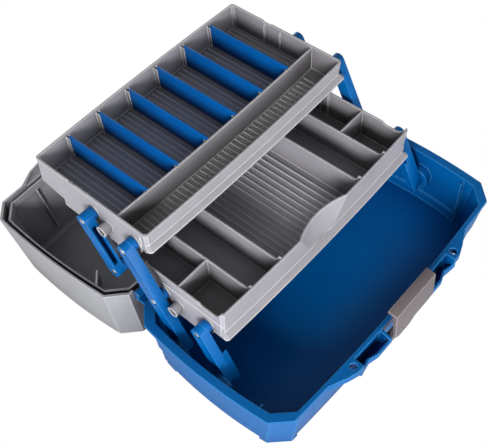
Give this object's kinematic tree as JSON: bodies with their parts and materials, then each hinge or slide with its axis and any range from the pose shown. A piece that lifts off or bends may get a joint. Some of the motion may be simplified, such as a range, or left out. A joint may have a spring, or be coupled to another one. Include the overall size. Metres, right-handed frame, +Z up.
{
  "type": "cantilever tackle box",
  "caption": "Cantilever fishing tackle box, open: moulded base and hinged lid, stepped trays on swinging arms, lift-out dividers, front latch and folding handle.",
  "frame": {"origin": "middle of the base's underside, at the level that it stands on", "axes": "+X to the right along the box, -Y towards the latch, +Y towards the open lid, +Z up"},
  "size_m": [0.3864, 0.4614, 0.1926],
  "materials": {
    "base_blue": "satin",
    "arm_blue": "satin",
    "divider_blue": "satin",
    "tray_grey": "satin",
    "lid_grey": "satin",
    "latch_grey": "satin",
    "pin_blue": "satin",
    "steel": "satin",
    "handle_grey": "satin"
  },
  "bodies": {
    "base": {"base_shell": "base_blue", "base_pivot_pins": "pin_blue", "hinge_pins": "steel", "latch_pin": "steel"},
    "lid": {"lid_shell": "lid_grey", "handle_pins": "steel"},
    "handle": {"carry_handle": "handle_grey"},
    "latch": {"latch": "latch_grey"},
    "long_arms": {"long_arm_left": "arm_blue", "long_arm_right": "arm_blue"},
    "front_arms": {"front_arm_left": "arm_blue", "front_arm_right": "arm_blue"},
    "rear_arms": {"rear_arm_left": "arm_blue", "rear_arm_right": "arm_blue"},
    "lower_tray": {"lower_tray": "tray_grey", "lower_tray_pins": "steel"},
    "upper_tray": {"upper_tray": "tray_grey", "upper_tray_pins": "steel"},
    "divider_1": {"divider_1": "divider_blue"},
    "divider_2": {"divider_2": "divider_blue"},
    "divider_3": {"divider_3": "divider_blue"},
    "divider_4": {"divider_4": "divider_blue"},
    "divider_5": {"divider_5": "divider_blue"},
    "divider_6": {"divider_6": "divider_blue"}
  },
  "joints": [
    {"name": "lid_hinge", "type": "hinge", "parent": "base", "child": "lid", "pos_m": [0, 0.1125, 0.0882], "axis": [-1, 0, 0], "range_deg": [-184.5, 0]},
    {"name": "long_arm_pivot", "type": "hinge", "parent": "base", "child": "long_arms", "pos_m": [0, 0.0498, 0.053], "axis": [-1, 0, 0], "range_deg": [-81, 0]},
    {"name": "front_arm_pivot", "type": "hinge", "parent": "base", "child": "front_arms", "pos_m": [0, -0.0087, 0.053], "axis": [-1, 0, 0], "range_deg": [-81, 0]},
    {"name": "lower_tray_pivot", "type": "hinge", "parent": "long_arms", "child": "lower_tray", "pos_m": [0, 0.07917, 0.11322], "axis": [-1, 0, 0], "range_deg": [0, 81]},
    {"name": "upper_tray_pivot", "type": "hinge", "parent": "long_arms", "child": "upper_tray", "pos_m": [0, 0.10854, 0.17344], "axis": [-1, 0, 0], "range_deg": [0, 81]},
    {"name": "rear_arm_pivot", "type": "hinge", "parent": "lower_tray", "child": "rear_arms", "pos_m": [0, 0.13617, 0.11322], "axis": [-1, 0, 0], "range_deg": [-81, 0]},
    {"name": "latch_hinge", "type": "hinge", "parent": "base", "child": "latch", "pos_m": [0, -0.1105, 0.07], "axis": [1, 0, 0], "range_deg": [-6, 100]},
    {"name": "handle_hinge", "type": "hinge", "parent": "lid", "child": "handle", "pos_m": [0, 0.21098, 0.00762], "axis": [-1, 0, 0], "range_deg": [0, 95]},
    {"name": "divider_1_lift", "type": "slide", "parent": "upper_tray", "child": "divider_1", "axis": [0, 0, 1], "range_m": [0, 0.03]},
    {"name": "divider_2_lift", "type": "slide", "parent": "upper_tray", "child": "divider_2", "axis": [0, 0, 1], "range_m": [0, 0.03]},
    {"name": "divider_3_lift", "type": "slide", "parent": "upper_tray", "child": "divider_3", "axis": [0, 0, 1], "range_m": [0, 0.03]},
    {"name": "divider_4_lift", "type": "slide", "parent": "upper_tray", "child": "divider_4", "axis": [0, 0, 1], "range_m": [0, 0.03]},
    {"name": "divider_5_lift", "type": "slide", "parent": "upper_tray", "child": "divider_5", "axis": [0, 0, 1], "range_m": [0, 0.03]},
    {"name": "divider_6_lift", "type": "slide", "parent": "upper_tray", "child": "divider_6", "axis": [0, 0, 1], "range_m": [0, 0.03]}
  ],
  "couplings": [
    {"joint": "long_arm_pivot", "follows": "lid_hinge", "ratio": 0.43631},
    {"joint": "front_arm_pivot", "follows": "lid_hinge", "ratio": 0.43631},
    {"joint": "lower_tray_pivot", "follows": "lid_hinge", "ratio": -0.43631},
    {"joint": "upper_tray_pivot", "follows": "lid_hinge", "ratio": -0.43631},
    {"joint": "rear_arm_pivot", "follows": "lid_hinge", "ratio": 0.43631}
  ]
}
